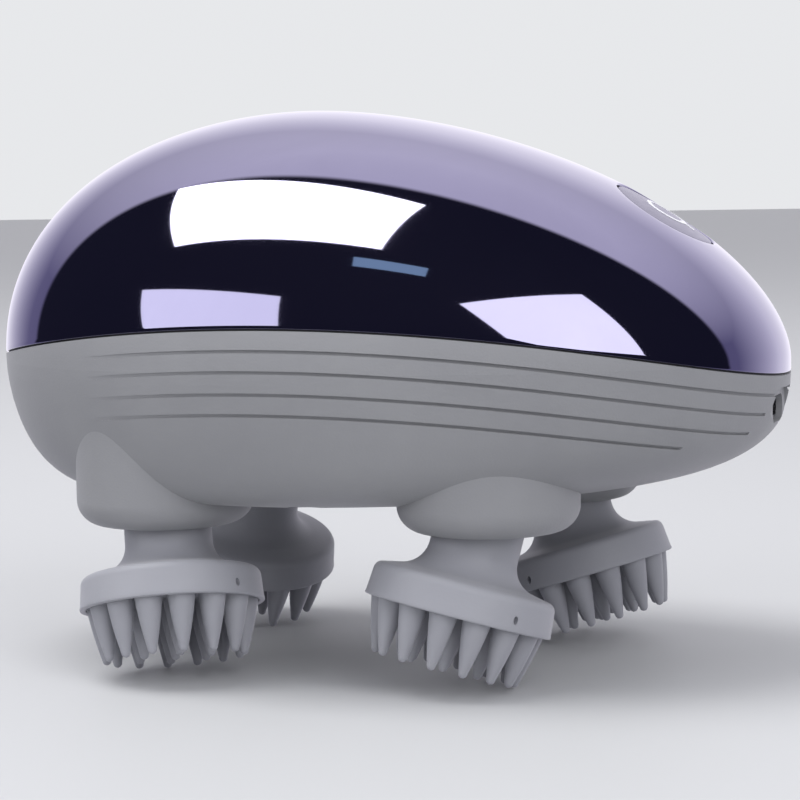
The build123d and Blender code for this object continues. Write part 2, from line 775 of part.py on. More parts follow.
with BuildPart() as upper_bush:
    with BuildSketch(Plane.XY.offset(deck_floor - 0.6)):
        Circle(5.2)
        Circle(shaft_radius + 0.03, mode=Mode.SUBTRACT)
    extrude(amount=0.6)
    with BuildSketch(Plane.XY.offset(deck_floor)):
        Circle(4.0)
        Circle(shaft_radius + 0.03, mode=Mode.SUBTRACT)
    extrude(amount=deck_thickness + 0.8)
finish(placed(upper_bush.part, upright), "upper_bushes")

# ---- one head, built on a frame whose +X is the side that hangs low ------------------------------------
oblique = Plane(
    origin=(0, 0, pivot),
    x_dir=(cos(radians(head_tilt)), 0, -sin(radians(head_tilt))),
    z_dir=(sin(radians(head_tilt)), 0, cos(radians(head_tilt))),
)
hub_radius = 9.4
hub_top = equator - 22.4
hub_bottom = foot_bottom + 0.5
pin_radius, pin_reach = 3.0, 12.0
neck_radius, flare_radius = 6.9, 4.2
disc_top_reach = 13.2
pad_floor_reach = rim_reach - 0.7
pad_thickness = 2.4
rim_wall = 0.95
catch_lift = 1.8  # from the rim's edge up to the middle of a catch hole
pad_grip = 1.6  # how far each finger's root runs up past the rim, into the pad
screw_reach = 14.2

with BuildPart() as head_shaft:
    with BuildSketch(Plane.XY.offset(hub_top - 1.6)):
        Circle(shaft_radius)
    extrude(amount=deck_top + 0.8 - hub_top + 1.6)
    with BuildSketch(Plane.XY.offset(bearing_top)):
        Circle(3.4)
    extrude(amount=gear_floor - bearing_top)
    chamfer(head_shaft.faces().sort_by(Axis.Z)[-1].edges(), 0.4)

with BuildPart() as crank_hub:
    with BuildSketch(Plane.XY.offset(hub_bottom)):
        Circle(hub_radius)
    extrude(amount=hub_top - hub_bottom)
    chamfer(crank_hub.edges().filter_by(GeomType.CIRCLE), 0.3)
    with BuildSketch(oblique.offset(-3.5)):
        Circle(pin_radius)
    extrude(amount=-(pin_reach - 3.5))
    with Locations((0, 0, hub_top)):
        Cylinder(20, 20, align=(Align.CENTER, Align.CENTER, Align.MIN), mode=Mode.SUBTRACT)
    with BuildSketch(Plane.XY.offset(hub_top)):
        Circle(shaft_radius)
    extrude(amount=-1.6, mode=Mode.SUBTRACT)
    with BuildSketch(oblique.offset(-pin_reach)):
        Circle(1.2)
    extrude(amount=5.0, mode=Mode.SUBTRACT)

# neck, disc and rim are one moulding, turned about the oblique axis
with BuildPart() as head_cup:
    with BuildSketch(Plane.XZ):
        with BuildLine():
            neck = Line((0, 0), (neck_radius, 0))
            side = Line(neck @ 1, (neck_radius, -disc_top_reach + flare_radius))
            flare = RadiusArc(side @ 1, (neck_radius + flare_radius, -disc_top_reach), flare_radius)
            shoulder = Line(flare @ 1, (rim_radius - 1.6, -disc_top_reach - 0.45))
            edge = TangentArc(
                shoulder @ 1, (rim_radius - 0.35, -disc_top_reach - 1.75), tangent=shoulder % 1
            )
            Polyline(
                edge @ 1,
                (rim_radius, -rim_reach),
                (rim_radius - rim_wall, -rim_reach),
                (rim_radius - rim_wall, -pad_floor_reach + pad_thickness),
                (0, -pad_floor_reach + pad_thickness),
                (0, 0),
            )
        make_face()
    revolve(axis=Axis.Z)
    with BuildSketch(Plane.XY.offset(-pin_reach)):
        Circle(pin_radius)
    extrude(amount=pin_reach, mode=Mode.SUBTRACT)
    with BuildSketch(Plane.XY.offset(-rim_reach)):
        Circle(1.45)
    extrude(amount=rim_reach - pin_reach, mode=Mode.SUBTRACT)
    with BuildSketch(Plane.XY.offset(-pad_floor_reach + pad_thickness)):
        Circle(3.0)
    extrude(amount=pad_floor_reach - pad_thickness - screw_reach, mode=Mode.SUBTRACT)


def catch_holes(first):
    """Cutters for two small catch holes in the rim, opposite each other."""
    with BuildPart() as cutters:
        for turn in (first, first + 180):
            side = Plane(
                origin=(0, 0, -rim_reach + catch_lift),
                x_dir=(0, 0, 1),
                z_dir=(cos(radians(turn)), sin(radians(turn)), 0),
            )
            with BuildSketch(side.offset(12.5)):
                SlotOverall(1.3, 0.85)
            extrude(amount=4)
    return cutters.part


with BuildPart() as hub_face_cut:
    with Locations((0, 0, hub_bottom)):
        Cylinder(40, 40, align=(Align.CENTER, Align.CENTER, Align.MIN))

with BuildPart() as finger:
    with BuildSketch(Plane.XZ):
        with BuildLine():
            root = Line((0, pad_grip), (finger_root, pad_grip))
            flank = Line(root @ 1, (finger_tip, finger_tip - finger_length))
            tip = ThreePointArc(
                flank @ 1,
                (finger_tip * sqrt(0.5), finger_tip * (1 - sqrt(0.5)) - finger_length),
                (0, -finger_length),
            )
            Line(tip @ 1, root @ 0)
        make_face()
    revolve(axis=Axis.Z)

with BuildPart() as finger_pad:
    with BuildSketch(Plane.XY.offset(-pad_floor_reach)):
        Circle(rim_radius - rim_wall)
    extrude(amount=pad_thickness)
    fillet(finger_pad.faces().sort_by(Axis.Z)[0].edges(), 0.5)
    for count, ring, lean in ((outer_fingers, outer_ring, finger_lean), (inner_fingers, inner_ring, 0)):
        for step in range(count):
            turn = 360 * step / count
            add(
                finger.part.moved(
                    Location((0, 0, -rim_reach), (0, 0, turn)) * Location((ring, 0, 0), (0, lean, 0))
                )
            )
    add(finger.part.moved(Location((0, 0, -rim_reach))))
    with BuildSketch(Plane.XY.offset(-pad_floor_reach + pad_thickness)):
        Circle(3.0)
    extrude(amount=-1.0, mode=Mode.SUBTRACT)

with BuildPart() as head_screw:
    with BuildSketch(Plane.XY.offset(-screw_reach)):
        Circle(2.4)
    extrude(amount=-1.5)
    with BuildSketch(Plane.XY.offset(-screw_reach)):
        Circle(1.2)
    extrude(amount=screw_reach - pin_reach + 5.0)

for name, (x, y) in head_spots.items():
    spot = Location((x, y, 0), (0, 0, low_side[name]))
    hang = spot * oblique.location
    direction = degrees(atan2(y, x - drive_x))
    with BuildPart() as head_gear:
        with BuildSketch(Plane.XY.offset(gear_floor)):
            make_face(gear_outline(head_teeth, meshing_turn(direction, drive_teeth, 0, head_teeth)))
            Circle(shaft_radius, mode=Mode.SUBTRACT)
        extrude(amount=gear_thickness)
    finish(head_gear.part.moved(Location((x, y, 0))), f"head_gear_{name}")
    finish(head_shaft.part.moved(spot), f"head_shaft_{name}")
    finish(crank_hub.part.moved(spot), f"crank_hub_{name}")
    with BuildPart() as placed_cup:
        add(head_cup.part.moved(hang))
        add(catch_holes(catch_turn[name]).moved(hang), mode=Mode.SUBTRACT)
        add(hub_face_cut.part.moved(spot), mode=Mode.SUBTRACT)
    finish(placed_cup.part, f"head_cup_{name}")
    finish(finger_pad.part.moved(hang), f"finger_pad_{name}")
    finish(head_screw.part.moved(hang), f"head_screw_{name}")

print("equator height", equator, "head_y", head_y, "socket_z", socket_z, "button", button_plane.origin, button_plane.z_dir)
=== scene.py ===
# %% [markdown]
# # Dressing an electric scalp massager
# The CAD model already holds every piece, its size and how it moves. This script gives it its looks: a
# mirror-gloss cover, a soft-touch housing and four silicone heads, then a small photo studio around it.
# Lengths are in millimetres until the last moment, when MM turns them into Blender's metres.

import json
from math import asin, cos, pi, radians, sin, sqrt

import bmesh
import bpy
from mathutils import Matrix, Vector


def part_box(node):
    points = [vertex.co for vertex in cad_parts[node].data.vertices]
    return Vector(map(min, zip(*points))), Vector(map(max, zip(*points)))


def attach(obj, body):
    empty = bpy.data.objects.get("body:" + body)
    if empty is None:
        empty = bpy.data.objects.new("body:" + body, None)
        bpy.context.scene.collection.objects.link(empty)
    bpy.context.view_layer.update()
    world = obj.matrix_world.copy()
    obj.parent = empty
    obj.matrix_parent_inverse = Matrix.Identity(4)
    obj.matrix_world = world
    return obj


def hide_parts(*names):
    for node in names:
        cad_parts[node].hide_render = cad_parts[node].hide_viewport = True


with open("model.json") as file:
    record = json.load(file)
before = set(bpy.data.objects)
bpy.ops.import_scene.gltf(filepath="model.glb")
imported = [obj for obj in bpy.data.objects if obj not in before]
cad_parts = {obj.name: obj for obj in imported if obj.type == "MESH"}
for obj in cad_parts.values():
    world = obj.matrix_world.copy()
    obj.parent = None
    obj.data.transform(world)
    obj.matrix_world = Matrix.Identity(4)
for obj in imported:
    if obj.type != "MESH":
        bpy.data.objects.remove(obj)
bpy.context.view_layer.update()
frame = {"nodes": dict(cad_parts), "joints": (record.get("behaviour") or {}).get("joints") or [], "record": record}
MM = 0.001
joints = {joint["name"]: joint for joint in frame["joints"]}

# %% [markdown]
# ## The body's shape as a formula
# A mirror shows every wobble of a mesh, so the cover isn't traced from the CAD's triangles. It is made again
# from the rule that the CAD follows: the dome is a lean superellipsoid leaning back towards the rear, and the
# bowl under it is a much squarer one. One function gives the skin at any height and any turn.

# %% The skin
half_length, half_width, dome_height, bowl_depth, apex_shift = 65.0, 44.0, 40.0, 21.5, 12.4
dome_power, bowl_nose_power = 1.88, 3.2
gear_drop = 10.0
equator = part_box("drive_gear")[0][2] / MM + gear_drop
seal_gap, cover_wall = 0.25, 2.0


def circle_through(a, b, c):
    """The centre and radius of the circle through three points of a plane."""
    (ax, ay), (bx, by), (cx, cy) = a, b, c
    twice = 2 * (ax * (by - cy) + bx * (cy - ay) + cx * (ay - by))
    aa, bb, cc = ax * ax + ay * ay, bx * bx + by * by, cx * cx + cy * cy
    x = (aa * (by - cy) + bb * (cy - ay) + cc * (ay - by)) / twice
    y = (aa * (cx - bx) + bb * (ax - cx) + cc * (bx - ax)) / twice
    return x, y, sqrt((ax - x) ** 2 + (ay - y) ** 2)


arch_x, arch_z, arch_r = circle_through((-half_length, 0.5), (-12.0, 6.4), (half_length, -2.5))


def parting(x):
    """Height of the parting line over the equator."""
    return arch_z + sqrt(arch_r**2 - (x - arch_x) ** 2)


def dome_share(up):
    """Share of the full width that the dome has at a share of its height."""
    return (1 - min(up, 1.0) ** dome_power) ** (1 / dome_power)


def skin(height, turn, inset=0.0):
    """The skin's point at a height over the equator, on the side that turn faces."""
    long_r, wide_r = half_length - inset, half_width - inset
    if height >= 0:
        up = min(height / (dome_height - inset), 1.0)
        middle, along, across = -apex_shift * up**1.5, long_r * dome_share(up), wide_r * dome_share(up)
    else:
        level = min(-height / (bowl_depth - inset), 1.0)
        nose = (1 - level**bowl_nose_power) ** (1 / bowl_nose_power)
        side = (1 - level**1.6) ** 0.1
        middle, along, across = long_r * (nose - side) / 2, long_r * (nose + side) / 2, wide_r * side
    return Vector((middle + along * cos(turn), across * sin(turn), equator + height))


def height_under_parting(drop, turn, inset=0.0):
    """The height of the skin a given drop under the parting line."""
    height = parting(0) - drop
    for _ in range(8):
        height = parting(skin(height, turn, inset).x) - drop
    return height


print("equator at", round(equator, 2), "mm, arch radius", round(arch_r), "mm")

# %% [markdown]
# ## From a mesh to a finished piece
# Every new piece ends the same way: it is scaled to metres, its faces are turned outwards, edges sharper than
# a limit stay crisp, it is told which body it rides on, and the CAD nodes it stands for are hidden.


# %% Finishing helper
def bent_grid(columns, rows, place):
    """A grid whose points are moved to place(column, row); its seam and its poles are then merged."""
    bm = bmesh.new()
    bmesh.ops.create_grid(bm, x_segments=columns, y_segments=rows - 1, size=1.0)
    low = min(vert.co.x for vert in bm.verts)
    for vert in bm.verts:
        column = round((vert.co.x - low) / (-2 * low) * columns)
        row = round((vert.co.y - low) / (-2 * low) * (rows - 1))
        vert.co = place(column % columns, row)
    bmesh.ops.remove_doubles(bm, verts=bm.verts, dist=0.0005)
    return bm


def spun(profile, steps=96):
    """A closed solid turned about Z from (radius, height) points that start and end on the axis."""
    bm = bmesh.new()
    points = [bm.verts.new((radius, 0, height)) for radius, height in profile]
    edges = [bm.edges.new(pair) for pair in zip(points, points[1:])]
    bmesh.ops.spin(
        bm, geom=points + edges, cent=(0, 0, 0), axis=(0, 0, 1), angle=2 * pi, steps=steps, use_merge=True
    )
    bmesh.ops.remove_doubles(bm, verts=bm.verts, dist=0.0005)
    return bm


def corner(centre, radius, start, end, steps=6):
    """Points of an arc, in degrees, for a profile."""
    turns = (radians(start + (end - start) * step / steps) for step in range(steps + 1))
    return [(centre[0] + radius * cos(turn), centre[1] + radius * sin(turn)) for turn in turns]


def finish_piece(bm, name, body, material, replaces=(), sharp=40.0):
    bmesh.ops.recalc_face_normals(bm, faces=bm.faces)
    bmesh.ops.scale(bm, vec=(MM, MM, MM), verts=bm.verts)
    for face in bm.faces:
        face.smooth = True
    for edge in bm.edges:
        edge.smooth = len(edge.link_faces) != 2 or edge.calc_face_angle(0) < radians(sharp)
    mesh = bpy.data.meshes.new(name)
    bm.to_mesh(mesh)
    bm.free()
    piece = bpy.data.objects.new(name, mesh)
    bpy.context.scene.collection.objects.link(piece)
    mesh.materials.append(material)
    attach(piece, body)
    if replaces:
        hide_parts(*replaces)
    print(name, len(mesh.polygons), "faces")
    return piece


# %% [markdown]
# ## Node helpers and shared effects
# Most finishes here share two effects, so each is a node group, built once: the fine spark-eroded grain of a
# moulding tool, and the faint uneven sheen that fingers leave. A group puts out only values and normals'
# heights; each material keeps its own shader.


# %% Node helpers
def new_material(name):
    material = bpy.data.materials.new(name)
    material.use_nodes = True
    return material, material.node_tree, material.node_tree.nodes["Principled BSDF"]


def add(tree, kind, **values):
    """A node of a kind, with its properties or its input sockets set by name."""
    node = tree.nodes.new(kind)
    for key, value in values.items():
        if hasattr(node, key):
            setattr(node, key, value)
        else:
            node.inputs[key.replace("_", " ")].default_value = value
    return node


def new_group(name, inputs, outputs):
    tree = bpy.data.node_groups.new(name, "ShaderNodeTree")
    for label, kind, value in inputs:
        socket = tree.interface.new_socket(label, in_out="INPUT", socket_type=kind)
        socket.default_value = value
    for label, kind in outputs:
        tree.interface.new_socket(label, in_out="OUTPUT", socket_type=kind)
    return tree, tree.nodes.new("NodeGroupInput"), tree.nodes.new("NodeGroupOutput")


def place_group(tree, group, **values):
    node = tree.nodes.new("ShaderNodeGroup")
    node.node_tree = group
    for key, value in values.items():
        node.inputs[key.replace("_", " ")].default_value = value
    return node


# %% Tool grain: a fine even pitting
grain, grain_in, grain_out = new_group(
    "tool grain",
    [
        ("Scale", "NodeSocketFloat", 3000.0),
        ("Roughness", "NodeSocketFloat", 0.5),
        ("Spread", "NodeSocketFloat", 0.1),
    ],
    [("Height", "NodeSocketFloat"), ("Roughness", "NodeSocketFloat")],
)
grain_place = add(grain, "ShaderNodeTexCoord")
grain_noise = add(grain, "ShaderNodeTexNoise", Detail=3.0)
grain_cells = add(grain, "ShaderNodeTexVoronoi")
grain_mix = add(grain, "ShaderNodeMath", operation="ADD")
grain_spread = add(grain, "ShaderNodeMath", operation="MULTIPLY_ADD")
grain.links.new(grain_place.outputs["Object"], grain_noise.inputs["Vector"])
grain.links.new(grain_place.outputs["Object"], grain_cells.inputs["Vector"])
grain.links.new(grain_in.outputs["Scale"], grain_noise.inputs["Scale"])
grain.links.new(grain_in.outputs["Scale"], grain_cells.inputs["Scale"])
grain.links.new(grain_noise.outputs["Fac"], grain_mix.inputs[0])
grain.links.new(grain_cells.outputs["Distance"], grain_mix.inputs[1])
grain.links.new(grain_mix.outputs[0], grain_out.inputs["Height"])
grain.links.new(grain_noise.outputs["Fac"], grain_spread.inputs[0])
grain.links.new(grain_in.outputs["Spread"], grain_spread.inputs[1])
grain.links.new(grain_in.outputs["Roughness"], grain_spread.inputs[2])
grain.links.new(grain_spread.outputs[0], grain_out.inputs["Roughness"])

# %% Handling: faint large patches, as skin and cloth leave them
handling, handling_in, handling_out = new_group(
    "handling",
    [
        ("Scale", "NodeSocketFloat", 30.0),
        ("Colour", "NodeSocketColor", (1, 1, 1, 1)),
        ("Worn", "NodeSocketColor", (1, 1, 1, 1)),
    ],
    [("Colour", "NodeSocketColor"), ("Patches", "NodeSocketFloat")],
)
handling_place = add(handling, "ShaderNodeTexCoord")
handling_noise = add(handling, "ShaderNodeTexNoise", Detail=4.0, Roughness=0.6, Distortion=0.4)
handling_range = add(handling, "ShaderNodeMapRange", From_Min=0.38, From_Max=0.66)
handling_mix = add(handling, "ShaderNodeMix", data_type="RGBA")
handling.links.new(handling_place.outputs["Object"], handling_noise.inputs["Vector"])
handling.links.new(handling_in.outputs["Scale"], handling_noise.inputs["Scale"])
handling.links.new(handling_noise.outputs["Fac"], handling_range.inputs["Value"])
handling.links.new(handling_range.outputs["Result"], handling_mix.inputs["Factor"])
handling.links.new(handling_in.outputs["Colour"], handling_mix.inputs[6])
handling.links.new(handling_in.outputs["Worn"], handling_mix.inputs[7])
handling.links.new(handling_mix.outputs[2], handling_out.inputs["Colour"])
handling.links.new(handling_range.outputs["Result"], handling_out.inputs["Patches"])
print("shared effects:", [group.name for group in bpy.data.node_groups])


# %% [markdown]
# ## Moulded finishes
# Soft-touch paint, silicone and bare plastic differ in colour, grain and sheen, not in how they are built, so
# one function makes them all.


# %% Moulded materials
def moulded(name, colour, worn, roughness, grain_scale, bump, sheen=0.0, coat=0.0, patch_scale=30.0):
    material, tree, shader = new_material(name)
    marks = place_group(tree, handling, Scale=patch_scale, Colour=(*colour, 1), Worn=(*worn, 1))
    pits = place_group(tree, grain, Scale=grain_scale, Roughness=roughness, Spread=0.12)
    relief = add(tree, "ShaderNodeBump", Strength=bump, Distance=0.0001)
    tree.links.new(marks.outputs["Colour"], shader.inputs["Base Color"])
    tree.links.new(pits.outputs["Roughness"], shader.inputs["Roughness"])
    tree.links.new(pits.outputs["Height"], relief.inputs["Height"])
    tree.links.new(relief.outputs["Normal"], shader.inputs["Normal"])
    shader.inputs["Sheen Weight"].default_value = sheen
    shader.inputs["Sheen Roughness"].default_value = 0.4
    shader.inputs["Coat Weight"].default_value = coat
    shader.inputs["Coat Roughness"].default_value = 0.25
    return material


soft_touch = moulded(
    "soft-touch grey", (0.262, 0.264, 0.278), (0.285, 0.287, 0.3), 0.5, 2600, 0.12, sheen=0.15
)
silicone = moulded("grey silicone", (0.315, 0.318, 0.352), (0.345, 0.348, 0.38), 0.46, 1900, 0.08, sheen=0.2)
dark_rubber = moulded("dark rubber", (0.02, 0.02, 0.024), (0.03, 0.03, 0.034), 0.55, 2200, 0.1)
natural_nylon = moulded("natural nylon", (0.74, 0.71, 0.62), (0.8, 0.78, 0.7), 0.4, 1500, 0.05)
black_moulding = moulded("black moulding", (0.05, 0.05, 0.055), (0.065, 0.065, 0.07), 0.45, 2400, 0.12)
chip_epoxy = moulded("chip epoxy", (0.015, 0.015, 0.017), (0.025, 0.025, 0.027), 0.5, 3000, 0.1)
solder_mask = moulded("solder mask", (0.01, 0.13, 0.05), (0.015, 0.17, 0.07), 0.3, 900, 0.03, coat=0.4)
cell_wrap = moulded("shrink wrap", (0.04, 0.16, 0.38), (0.05, 0.18, 0.42), 0.28, 500, 0.04, coat=0.3)
lens_white = moulded("light ring", (0.86, 0.86, 0.9), (0.9, 0.9, 0.94), 0.3, 1200, 0.02)


# %% [markdown]
# ## Lacquer over metallising
# The cover is plated plastic under a tinted lacquer. The plating mirrors its surroundings in dark violet, and
# the clear lacquer on top turns white at a glancing angle: a metallic base colour with a clear coat does
# both.


# %% Cover lacquer and metals
def metal(name, colour, worn, roughness, stretch=(1.0, 1.0, 1.0), coat=0.0, scale=900.0, bump=0.03):
    """Bare or plated metal; stretch draws its grain out along an axis, as turning or brushing does."""
    material, tree, shader = new_material(name)
    marks = place_group(tree, handling, Scale=40.0, Colour=(*colour, 1), Worn=(*worn, 1))
    place = add(tree, "ShaderNodeTexCoord")
    drawn = add(tree, "ShaderNodeMapping", Scale=stretch)
    lines = add(tree, "ShaderNodeTexNoise", Scale=scale, Detail=2.0)
    spread = add(tree, "ShaderNodeMapRange", To_Min=roughness * 0.75, To_Max=roughness * 1.3)
    relief = add(tree, "ShaderNodeBump", Strength=bump, Distance=0.00005)
    tree.links.new(marks.outputs["Colour"], shader.inputs["Base Color"])
    tree.links.new(place.outputs["Object"], drawn.inputs["Vector"])
    tree.links.new(drawn.outputs["Vector"], lines.inputs["Vector"])
    tree.links.new(lines.outputs["Fac"], spread.inputs["Value"])
    tree.links.new(spread.outputs["Result"], shader.inputs["Roughness"])
    tree.links.new(lines.outputs["Fac"], relief.inputs["Height"])
    tree.links.new(relief.outputs["Normal"], shader.inputs["Normal"])
    shader.inputs["Metallic"].default_value = 1.0
    shader.inputs["Coat Weight"].default_value = coat
    shader.inputs["Coat Roughness"].default_value = 0.02
    return material


lacquer = metal(
    "violet mirror lacquer", (0.27, 0.255, 0.38), (0.29, 0.275, 0.405), 0.035, coat=1.0, scale=60, bump=0.0
)
button_silver = metal(
    "button silver", (0.3, 0.295, 0.35), (0.32, 0.315, 0.37), 0.34, coat=0.1, scale=900, bump=0.0
)
turned_steel = metal("turned steel", (0.55, 0.55, 0.57), (0.6, 0.6, 0.61), 0.22, stretch=(1, 1, 14))
zinc_steel = metal("zinc-plated steel", (0.5, 0.5, 0.52), (0.58, 0.58, 0.6), 0.3)
nickel = metal("nickelled sheet", (0.42, 0.42, 0.44), (0.48, 0.48, 0.5), 0.25, stretch=(10, 1, 1))
bronze = metal("sintered bronze", (0.5, 0.3, 0.14), (0.56, 0.36, 0.2), 0.4, bump=0.15)
brass = metal("machined brass", (0.72, 0.5, 0.2), (0.76, 0.55, 0.25), 0.2, stretch=(1, 1, 10))
print("materials:", len(bpy.data.materials))

# %% [markdown]
# ## Finishes for the CAD nodes that stay
# The gears, bearings, motor, battery and screws keep their CAD shapes. Each takes the finish of its slot in
# the record, from one table.

# %% Dress the CAD nodes
finish_of_slot = {
    "cover_gloss": lacquer,
    "housing_matte": soft_touch,
    "head_soft": silicone,
    "seal_dark": dark_rubber,
    "button_silver": button_silver,
    "light_ring": lens_white,
    "steel": turned_steel,
    "screw_steel": zinc_steel,
    "bronze": bronze,
    "gear_nylon": natural_nylon,
    "pinion_brass": brass,
    "inner_plastic": black_moulding,
    "motor_cap": natural_nylon,
    "cell_wrap": cell_wrap,
    "board": solder_mask,
    "chips": chip_epoxy,
    "socket_metal": nickel,
}
for entry in frame["record"]["subparts"]:
    node = frame["nodes"].get(entry["node"])
    if node is not None:
        node.data.materials.clear()
        node.data.materials.append(finish_of_slot[entry["material_slot"]])

# %% [markdown]
# ## The cover
# One grid, bent into a closed shell: its rows run from the top of the outside, down to the parting line,
# round a small lip, and back up the inside. The button's hole is cut by dropping the faces inside a circle
# and drawing the ragged edge onto it, so every point stays on the true skin and the mirror stays calm.

# %% Where the button sits
button_rise = 0.575
button_spot = skin(dome_height * button_rise, 0.0)
button_out = -Vector(joints["button_press"]["axis"]).normalized()
button_down = Vector((button_out.z, 0, -button_out.x))
button_radius, button_gap, button_sunk = 8.5, 0.35, 0.25


def from_button(across, along, out):
    return button_spot + button_down * along + Vector((0, across, 0)) + button_out * out


def to_button(point):
    """Sideways, down the slope and outwards from the button's middle."""
    away = point - button_spot
    return away.y, away.dot(button_down), away.dot(button_out)


def dome_level(point, inset=0.0):
    """Negative inside the dome, zero on its skin."""
    up = max(point.z - equator, 0) / (dome_height - inset)
    x = (point.x + apex_shift * min(up, 1) ** 1.5) / (half_length - inset)
    return Vector((x, point.y / (half_width - inset))).length ** dome_power + up**dome_power - 1


def on_dome(across, along, inset=0.0):
    """The skin's point over a place in the button's plane."""
    low, high = -12.0, 4.0
    for _ in range(36):
        middle = (low + high) / 2
        if dome_level(from_button(across, along, middle), inset) < 0:
            low = middle
        else:
            high = middle
    return from_button(across, along, low)


# %% Cover shell
cover_columns, cover_rise, cover_inner = 320, 120, 40
lip_radius, lip_steps = 0.35, 4


def cover_rows():
    """(share of the way down, inset, lift of the edge) for each row, outside first."""
    rows = [(step / cover_rise, 0.0, lip_radius) for step in range(cover_rise + 1)]
    for step in range(1, lip_steps + 1):
        turn = pi / 2 * step / lip_steps
        rows.append((1.0, lip_radius * (1 - cos(turn)), lip_radius * (1 - sin(turn))))
    rows.append((1.0, cover_wall, 0.0))
    rows += [(1 - step / cover_inner, cover_wall, 0.0) for step in range(1, cover_inner + 1)]
    return rows


rows_of_cover = cover_rows()
edge_angles = {}


def cover_point(column, row):
    share, inset, lift = rows_of_cover[row]
    turn = 2 * pi * column / cover_columns
    key = (column, inset, lift)
    if key not in edge_angles:
        edge = height_under_parting(-seal_gap - lift, turn, inset)
        edge_angles[key] = asin(edge / (dome_height - inset))
    angle = pi / 2 + (edge_angles[key] - pi / 2) * share
    return skin((dome_height - inset) * sin(angle), turn, inset)


cover = bent_grid(cover_columns, len(rows_of_cover), cover_point)


# %% Cut the button's hole and round its rim
def rim_edges(bm):
    return [edge for edge in bm.edges if edge.is_boundary]


hole_radius = button_radius + button_gap
dropped = [
    face
    for face in cover.faces
    if Vector(to_button(face.calc_center_median())[:2]).length < hole_radius + lip_radius
    and to_button(face.calc_center_median())[2] > -9.0
]
bmesh.ops.delete(cover, geom=dropped, context="FACES")
outer_rim, inner_rim = [], []
for vert in {vert for edge in rim_edges(cover) for vert in edge.verts}:
    across, along, _ = to_button(vert.co)
    outside = dome_level(vert.co) > -0.04
    reach = (hole_radius + lip_radius if outside else hole_radius) / Vector((across, along)).length
    vert.co = on_dome(across * reach, along * reach, 0.0 if outside else cover_wall)
    (outer_rim if outside else inner_rim).append(vert)
outer_edges = [edge for edge in rim_edges(cover) if edge.verts[0] in outer_rim]
for step in range(1, lip_steps + 1):
    turn = pi / 2 * step / lip_steps
    grown = bmesh.ops.extrude_edge_only(cover, edges=outer_edges)["geom"]
    for vert in (item for item in grown if isinstance(item, bmesh.types.BMVert)):
        across, along, _ = to_button(vert.co)
        reach = (hole_radius + lip_radius * (1 - sin(turn))) / Vector((across, along)).length
        top = on_dome(across * reach, along * reach)
        vert.co = top - button_out * lip_radius * (1 - cos(turn))
    outer_edges = [item for item in grown if isinstance(item, bmesh.types.BMEdge)]
bmesh.ops.bridge_loops(cover, edges=rim_edges(cover))
finish_piece(cover, "cover_shell", "shell", lacquer, ["upper_cover"])

# %% [markdown]
# ## The button
# A thin cap whose face follows the same skin, set a quarter of a millimetre under it. The grid is polar here:
# rows run out from the middle, round the edge and down the side.

# %% Button cap
button_rings, button_lip = 40, 0.3
button_rows = [(button_radius - button_lip) * ring / button_rings for ring in range(button_rings + 1)]


def button_point(column, row):
    turn = 2 * pi * column / 128
    if row <= button_rings:
        reach, under = button_rows[row], 0.0
    elif row <= button_rings + lip_steps:
        bend = pi / 2 * (row - button_rings) / lip_steps
        reach, under = button_radius - button_lip * (1 - sin(bend)), button_lip * (1 - cos(bend))
    else:
        reach, under = (button_radius, 2.6) if row == button_rings + lip_steps + 1 else (0.0, 2.6)
    across, along = reach * sin(turn), reach * cos(turn)
    face = on_dome(across, along, button_sunk)
    return face - button_out * under


button = bent_grid(128, button_rings + lip_steps + 3, button_point)
finish_piece(button, "button_cap", "power_button", button_silver, ["power_button"])

# %% [markdown]
# ## The heads
# Each head hangs on an oblique pin, so its pad lies tilted and wobbles as it turns. The neck, disc and rim
# are one silicone-covered moulding, turned from a profile.

# %% The oblique frames
head_tilt, pivot_drop = 17.0, 19.5
low_side = {"rear_right": 120.0, "front_right": 43.0, "front_left": 171.0, "rear_left": -45.0}
hub_drop = 24.5


def oblique(place):
    """From a head's own frame, with its pin along Z, to the object's frame."""
    x, y, _ = (value / MM for value in joints[f"head_spin_{place}"]["pos_m"])
    spot = Matrix.Translation((x, y, equator - pivot_drop))
    turned = spot @ Matrix.Rotation(radians(low_side[place]), 4, "Z")
    return turned @ Matrix.Rotation(radians(head_tilt), 4, "Y")


# %% Cup
rim_radius, rim_reach, rim_wall, pad_floor, pad_thickness = 14.5, 19.0, 0.95, 18.3, 2.4
neck_radius, shoulder_reach, flare_radius = 6.9, 13.2, 4.2
catch_reach, catch_width, catch_height = 17.2, 1.3, 0.85
catch_turn = {"rear_right": 38, "front_right": -82, "front_left": 70, "rear_left": -62}


def cup_profile():
    flare_centre = (neck_radius + flare_radius, flare_radius - shoulder_reach)
    points = [(0, 0), (neck_radius, 0), *corner(flare_centre, flare_radius, 180, 262, 10)]
    points += corner((rim_radius - 1.75, -shoulder_reach - 1.85), 1.4, 82, 4, 8)
    points += [(rim_radius - 0.1, 0.8 - rim_reach)]
    points += corner((rim_radius - 0.27, 0.27 - rim_reach), 0.27, 0, -90, 4)
    points += corner((rim_radius - rim_wall + 0.2, 0.2 - rim_reach), 0.2, -90, -180, 3)
    ceiling = 0.3 + pad_thickness - pad_floor
    return points + [(rim_radius - rim_wall, ceiling), (0, ceiling)]


